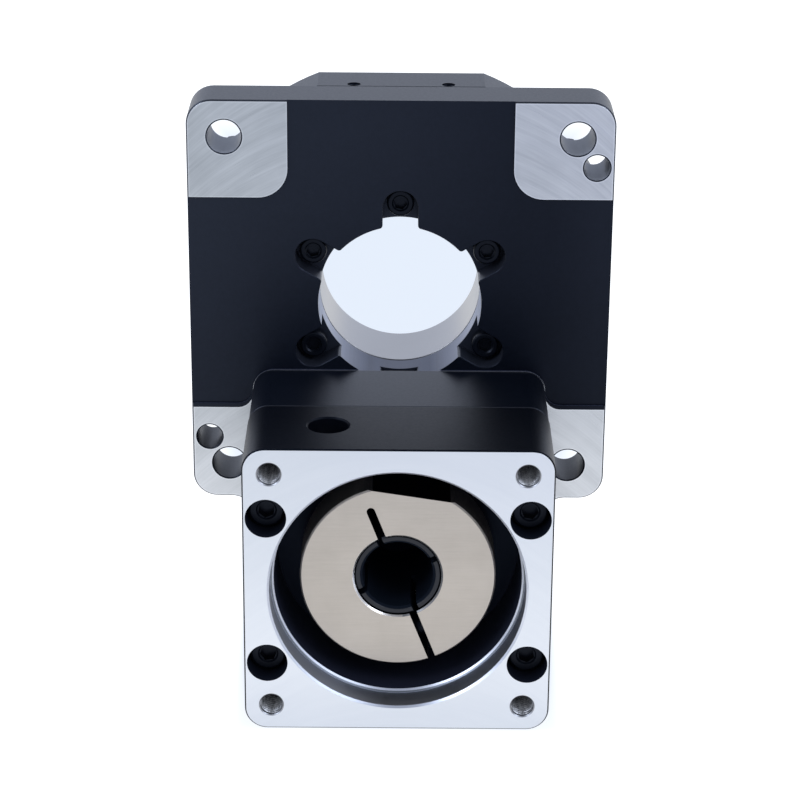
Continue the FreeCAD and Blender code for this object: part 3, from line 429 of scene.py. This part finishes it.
def flange_material():
    m, nt, bsdf = new_mat("bright_face_black_sides")
    t = Tree(nt)
    r = t.radius(0.0, AXIS_Z)
    face = t.less(t.y, -0.04183)
    pilot = t.both(t.both(t.less(r, 0.02545), t.more(r, 0.02436)), t.less(t.y, -0.03545))
    bare = t.either(face, pilot)
    tapped = None
    for sx in (1, -1):
        for sz in (1, -1):
            d = t.less(t.radius(sx * 24.7485 * MM, AXIS_Z + sz * 24.7485 * MM), 0.00248)
            tapped = d if tapped is None else t.either(tapped, d)
    bare = t.either(bare, tapped)
    black, black_rough, grain = black_fields(t, 0.6)
    # edge wear and a painted highlight: the flange's rear edge at the joint is painted a paler black
    wear_and_highlight = t.span(t.noise(t.pos, 900.0, 2.0), 0.3, 0.7, 0.6, 1.0)
    black = t.mix(t.mul(t.more(t.y, -0.02015), wear_and_highlight), black, (0.026, 0.027, 0.032, 1))
    # painted light: the bell's inside is painted a paler, bluer black, with a weaker reflection
    bell = t.less(r, 0.02436)
    black = t.mix(bell, black, (0.0165, 0.0185, 0.0310, 1))
    # painted light: the counterbores are painted a paler, bluer black
    sink = None
    for sx in (1, -1):
        for sz in (1, -1):
            d = t.less(t.radius(sx * 25.47 * MM, AXIS_Z + sz * 15.51 * MM), 0.00403)
            sink = d if sink is None else t.either(sink, d)
    black = t.mix(sink, black, (0.0100, 0.0120, 0.0200, 1))
    broad, line = milled(t, 0.045)
    cloud = t.noise(t.pos, 40.0, 3.0, 0.6)
    tone = t.add(t.mul(broad, 0.25), t.add(t.mul(line, 0.25), t.mul(cloud, 0.5)))
    silver = t.mix(tone, (0.655, 0.68, 0.725, 1), (0.735, 0.755, 0.79, 1))
    lathe = t.span(t.noise(t.combine(t.y, 0.0, 0.0), 4200.0, 3.0, 0.65), 0.3, 0.7, 0.0, 1.0)
    turned = t.mix(lathe, (0.63, 0.655, 0.715, 1), (0.73, 0.755, 0.815, 1))
    outer_lip = t.both(t.both(t.more(r, 0.02469), t.less(r, 0.02497)), t.more(t.y, -0.0363))
    turned = t.mix(outer_lip, turned, (0.20, 0.215, 0.24, 1))
    silver = t.mix(pilot, silver, turned)
    silver = t.mix(tapped, silver, (0.36, 0.365, 0.38, 1))
    nt.links.new(t.mix(bare, black, silver), bsdf.inputs["Base Color"])
    nt.links.new(bare, bsdf.inputs["Metallic"])
    wall_rough = t.add(t.span(lathe, 0.0, 1.0, 0.30, 0.40), t.span(t.x, -0.012, -0.002, 0.14, 0.0))
    silver_rough = t.mixf(pilot, t.span(line, 0.0, 1.0, 0.34, 0.42), wall_rough)
    nt.links.new(t.mixf(bare, t.add(black_rough, 0.05), silver_rough), bsdf.inputs["Roughness"])
    tint = black_spec(t, bsdf, 0.70, 1.48)
    nt.links.new(t.mix(bell, tint, (0.12, 0.15, 0.22, 1)), bsdf.inputs["Specular Tint"])
    height = t.mixf(bare, grain, t.mixf(pilot, line, lathe))
    nt.links.new(t.bump(height, 0.15, 0.00002), bsdf.inputs["Normal"])
    return m


def steel_material(name, lo, hi, rough, axis_z=0.0, turned=True, ring=5200.0):
    """Turned or ground steel: fine lines round the part's own axis."""
    m, nt, bsdf = new_mat(name)
    t = Tree(nt)
    r = t.radius(0.0, axis_z)
    flat = t.more(t.math("ABSOLUTE", t.ny), 0.7)
    s = t.mixf(flat, t.y, r)
    lines = t.noise(t.combine(s, 0.0, 0.0), ring, 3.0, 0.65)
    cloud = t.noise(t.pos, 70.0, 3.0, 0.6)
    nt.links.new(t.mix(t.mixf(0.5, lines, cloud), lo, hi), bsdf.inputs["Base Color"])
    bsdf.inputs["Metallic"].default_value = 1.0
    nt.links.new(t.span(lines, 0.3, 0.7, rough - 0.05, rough + 0.06), bsdf.inputs["Roughness"])
    if turned:
        nt.links.new(t.bump(lines, 0.15, 0.00002), bsdf.inputs["Normal"])
    return m


def hub_material():
    """Ground bore; the small relief and chamfer at its front edge are painted dark, painted shade for the gap line
    there.
    """
    m, nt, bsdf = new_mat("hub_ground_bore")
    t = Tree(nt)
    r = t.radius()
    flat = t.more(t.math("ABSOLUTE", t.ny), 0.7)
    s = t.mixf(flat, t.y, r)
    lines = t.noise(t.combine(s, 0.0, 0.0), 5200.0, 3.0, 0.65)
    cloud = t.noise(t.pos, 70.0, 3.0, 0.6)
    ground = t.mix(t.mixf(0.5, lines, cloud), (0.310, 0.306, 0.308, 1), (0.375, 0.371, 0.374, 1))
    # painted shade: the chamfer is painted darker and the relief beyond it almost black
    front = t.less(t.y, 0.01215)
    ground = t.mix(front, ground, (0.13, 0.13, 0.135, 1))
    ground = t.mix(t.both(front, t.more(r, 0.01672)), ground, (0.012, 0.012, 0.014, 1))
    nt.links.new(ground, bsdf.inputs["Base Color"])
    bsdf.inputs["Metallic"].default_value = 1.0
    nt.links.new(t.span(lines, 0.3, 0.7, 0.29, 0.40), bsdf.inputs["Roughness"])
    nt.links.new(t.bump(lines, 0.15, 0.00002), bsdf.inputs["Normal"])
    return m


def oxide_material(name, dark, light, rough, metallic=0.0, tint=0.45, bore=False):
    """Black oxide or phosphate on steel, worn a little lighter on the high spots."""
    m, nt, bsdf = new_mat(name)
    t = Tree(nt)
    cloud = t.noise(t.pos, 420.0, 4.0, 0.65)
    grain = t.noise(t.pos, 7000.0, 2.0, 0.6)
    colour = t.mix(cloud, dark, light)
    rough = t.span(cloud, 0.3, 0.7, rough - 0.05, rough + 0.06)
    if bore:
        # painted shade: the bore and the slots are painted full black, with almost no reflection
        deep = t.either(t.less(t.radius(0.0, AXIS_Z), 0.00742), t.more(t.y, -0.0336))
        colour = t.mix(deep, colour, (0.0060, 0.0090, 0.0150, 1))
        tone = t.mix(deep, (tint, tint * 1.03, tint * 1.12, 1), (0.05, 0.05, 0.06, 1))
        nt.links.new(tone, bsdf.inputs["Specular Tint"])
        rough = t.mixf(deep, rough, 0.8)
    else:
        bsdf.inputs["Specular Tint"].default_value = (tint, tint * 1.12, tint * 1.45, 1)
    nt.links.new(colour, bsdf.inputs["Base Color"])
    bsdf.inputs["Metallic"].default_value = metallic
    nt.links.new(rough, bsdf.inputs["Roughness"])
    nt.links.new(t.bump(grain, 0.2, 0.00002), bsdf.inputs["Normal"])
    return m


def collar_material():
    """Nickel plate over a turned ring, rubbed along X, with a painted highlight on the left of the bore's edge and
    painted shade on its right.
    """
    m, nt, bsdf = new_mat("collar_satin_nickel")
    t = Tree(nt)
    rubbed = t.span(t.noise(t.combine(t.mul(t.x, 0.06), t.mul(t.y, 0.06), t.z), 2600.0, 3.0, 0.65), 0.3, 0.7, 0.0, 1.0)
    cloud = t.span(t.noise(t.pos, 130.0, 3.0, 0.6), 0.3, 0.7, 0.0, 1.0)
    colour = t.mix(t.mixf(0.45, rubbed, cloud), (0.440, 0.398, 0.352, 1), (0.525, 0.477, 0.425, 1))
    r = t.radius(0.0, AXIS_Z)
    # painted highlight: the bore's edge is painted bright and glossy on its left
    bore_edge_highlight = t.both(t.less(r, 0.00893), t.span(t.x, -0.0030, 0.0010, 1.0, 0.0))
    colour = t.mix(bore_edge_highlight, colour, (0.86, 0.82, 0.77, 1))
    # painted shade: the bore's edge is painted dull grey on its right
    bore_edge_shade = t.both(t.less(r, 0.00893), t.more(t.x, 0.0010))
    colour = t.mix(bore_edge_shade, colour, (0.22, 0.215, 0.21, 1))
    # painted shade: the collar's slit walls and the bore beyond them are painted near black
    slit = t.both(t.more(t.y, -0.03427), t.less(r, 0.0189))
    colour = t.mix(slit, colour, (0.012, 0.012, 0.014, 1))
    nt.links.new(colour, bsdf.inputs["Base Color"])
    bsdf.inputs["Metallic"].default_value = 1.0
    nt.links.new(t.mixf(bore_edge_highlight, t.span(rubbed, 0.0, 1.0, 0.38, 0.46), 0.24), bsdf.inputs["Roughness"])
    nt.links.new(t.bump(rubbed, 0.2, 0.00002), bsdf.inputs["Normal"])
    return m


def thread_material():
    """Cut aluminium: dark and bright streaks along the hole, as the tap leaves them."""
    m, nt, bsdf = new_mat("thread_cut_aluminium")
    t = Tree(nt)
    streak = t.span(t.noise(t.combine(t.x, t.mul(t.y, 0.10), t.z), 1500.0, 3.0, 0.7), 0.36, 0.64, 0.0, 1.0)
    fine = t.span(t.noise(t.pos, 3600.0, 2.0, 0.6), 0.35, 0.65, 0.0, 1.0)
    nt.links.new(t.mix(t.mixf(0.45, streak, fine), (0.24, 0.24, 0.25, 1), (1.0, 1.0, 1.0, 1)), bsdf.inputs["Base Color"])
    bsdf.inputs["Metallic"].default_value = 1.0
    nt.links.new(t.span(fine, 0.0, 1.0, 0.36, 0.52), bsdf.inputs["Roughness"])
    nt.links.new(t.bump(fine, 0.3, 0.00004), bsdf.inputs["Normal"])
    return m


def plain_grain(name, lo, hi, rough, metallic=0.0, scale=1500.0, spec=0.4):
    m, nt, bsdf = new_mat(name)
    t = Tree(nt)
    g = t.noise(t.pos, scale, 3.0, 0.6)
    c = t.noise(t.pos, 90.0, 3.0, 0.6)
    nt.links.new(t.mix(t.mixf(0.4, c, g), lo, hi), bsdf.inputs["Base Color"])
    bsdf.inputs["Metallic"].default_value = metallic
    bsdf.inputs["Specular IOR Level"].default_value = spec
    nt.links.new(t.span(g, 0.3, 0.7, rough - 0.05, rough + 0.05), bsdf.inputs["Roughness"])
    nt.links.new(t.bump(g, 0.2, 0.00002), bsdf.inputs["Normal"])
    return m


MATS = {
    "housing": housing_material(),
    "black": black_material(k=1.12, worn=True),
    "flange": flange_material(),
    "hub": hub_material(),
    "race": steel_material("race_ground_steel", (0.41, 0.405, 0.405, 1), (0.50, 0.495, 0.495, 1), 0.28),
    "table": steel_material("table_turned_steel", (0.44, 0.445, 0.46, 1), (0.70, 0.705, 0.72, 1), 0.30, ring=2600.0),
    "gear": steel_material("gear_ground_steel", (0.36, 0.36, 0.37, 1), (0.46, 0.46, 0.47, 1), 0.32),
    "pinion": steel_material("pinion_ground_steel", (0.36, 0.36, 0.37, 1), (0.46, 0.46, 0.47, 1), 0.32, AXIS_Z),
    "bearing": steel_material("bearing_polished_steel", (0.55, 0.56, 0.57, 1), (0.66, 0.67, 0.68, 1), 0.14, AXIS_Z),
    "collar": collar_material(),
    "oxide": oxide_material("shaft_black_oxide", (0.0035, 0.0042, 0.0060, 1), (0.0090, 0.0100, 0.0130, 1), 0.36, tint=0.75, bore=True),
    "screw": oxide_material("screw_black_oxide", (0.0020, 0.0029, 0.0056, 1), (0.0038, 0.0050, 0.0084, 1), 0.32, tint=0.26),
    "spring": oxide_material("spring_phosphate", (0.02, 0.02, 0.021, 1), (0.045, 0.045, 0.047, 1), 0.45, 0.3),
    "brass": plain_grain("cage_brass", (0.58, 0.40, 0.16, 1), (0.74, 0.54, 0.26, 1), 0.3, 1.0),
    "rubber": plain_grain("seal_rubber", (0.012, 0.012, 0.012, 1), (0.022, 0.022, 0.022, 1), 0.62),
}
USES = {
    "housing": "housing", "bearing_block": "black", "motor_flange": "flange", "hub": "hub", "outer_race_ring": "race",
    "ring_gear": "gear", "pinion": "pinion", "table": "table", "table_screws": "screw", "hub_screws": "screw",
    "mount_screws": "screw", "clamp_screw": "screw", "table_seal": "rubber", "hub_seal": "rubber", "cross_rollers": "race",
    "roller_cage": "brass", "input_shaft": "oxide", "clamp_collar": "collar", "front_bearing_inner_ring": "bearing",
    "front_bearing_outer_ring": "bearing", "front_bearing_balls": "bearing", "front_bearing_cage": "brass",
    "front_bearing_shields": "bearing", "rear_bearing_inner_ring": "bearing", "rear_bearing_outer_ring": "bearing",
    "rear_bearing_balls": "bearing", "rear_bearing_cage": "brass", "rear_bearing_shields": "bearing",
    "bearing_circlip": "spring", "shaft_circlip": "spring", "pinion_circlip": "spring",
}
for name, obj in nodes.items():
    mat = MATS[USES[name]]
    if not obj.data.materials:
        obj.data.materials.append(mat)
    for k in range(len(obj.data.materials)):
        obj.data.materials[k] = mat

# ---------------------------------------------------------------- threads in the tapped holes


def thread(name, mouth, into, r_root, r_crest, pitch, long, mat, body):
    """One helical ridge on the wall of a plain tapped hole, from its mouth inwards."""
    into = Vector(into).normalized()
    u = into.orthogonal().normalized()
    v = into.cross(u)
    per = 40
    count = int(long / pitch * per)
    shape = ((r_root, -0.44 * pitch), (r_crest, -0.09 * pitch), (r_crest, 0.09 * pitch), (r_root, 0.44 * pitch))
    bm = bmesh.new()
    rings = []
    for k in range(count + 1):
        a = 2 * math.pi * k / per
        fade = min(1.0, k / (per * 0.4), (count - k) / (per * 0.4))
        out = u * math.cos(a) + v * math.sin(a)
        at = 0.5 * pitch + pitch * k / per
        rings.append([bm.verts.new(Vector(mouth) + out * (r_root + (r - r_root) * fade) + into * (at + off)) for r, off in shape])
    for a, b in zip(rings, rings[1:]):
        for q in range(4):
            w = (q + 1) % 4
            bm.faces.new((a[q], a[w], b[w], b[q]))
    bm.faces.new(rings[0][::-1])
    bm.faces.new(rings[-1])
    bmesh.ops.recalc_face_normals(bm, faces=bm.faces)
    for f in bm.faces:
        f.smooth = False
    me = bpy.data.meshes.new(name)
    bm.to_mesh(me)
    bm.free()
    o = bpy.data.objects.new(name, me)
    scene.collection.objects.link(o)
    me.materials.append(mat)
    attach(o, body)
    return o


cut_silver = thread_material()
cut_black = black_material("thread_black_anodised")
cut_steel = steel_material("thread_cut_steel", (0.42, 0.42, 0.43, 1), (0.56, 0.56, 0.57, 1), 0.30)
for n, (sx, sz) in enumerate(((1, 1), (-1, 1), (-1, -1), (1, -1))):
    thread("motor_thread_%d" % (n + 1), (sx * 24.7485 * MM, -0.04185 + 0.0003, AXIS_Z + sz * 24.7485 * MM), (0, 1, 0),
           0.00229, 0.00206, 0.0008, 0.0126, cut_silver, "base")
for n, sx in enumerate((1, -1)):
    thread("side_thread_%d" % (n + 1), (sx * 0.0095, 0.0126, 0.0425 - 0.0001), (0, 0, -1),
           0.00138, 0.00123, 0.0005, 0.0030, cut_black, "base")
for n in range(6):
    a = math.radians(30 + 60 * n)
    thread("table_thread_%d" % (n + 1), (0.031 * math.cos(a), 0.0280 - 0.0002, 0.031 * math.sin(a)), (0, -1, 0),
           0.00181, 0.00162, 0.0007, 0.0046, cut_steel, "turntable")
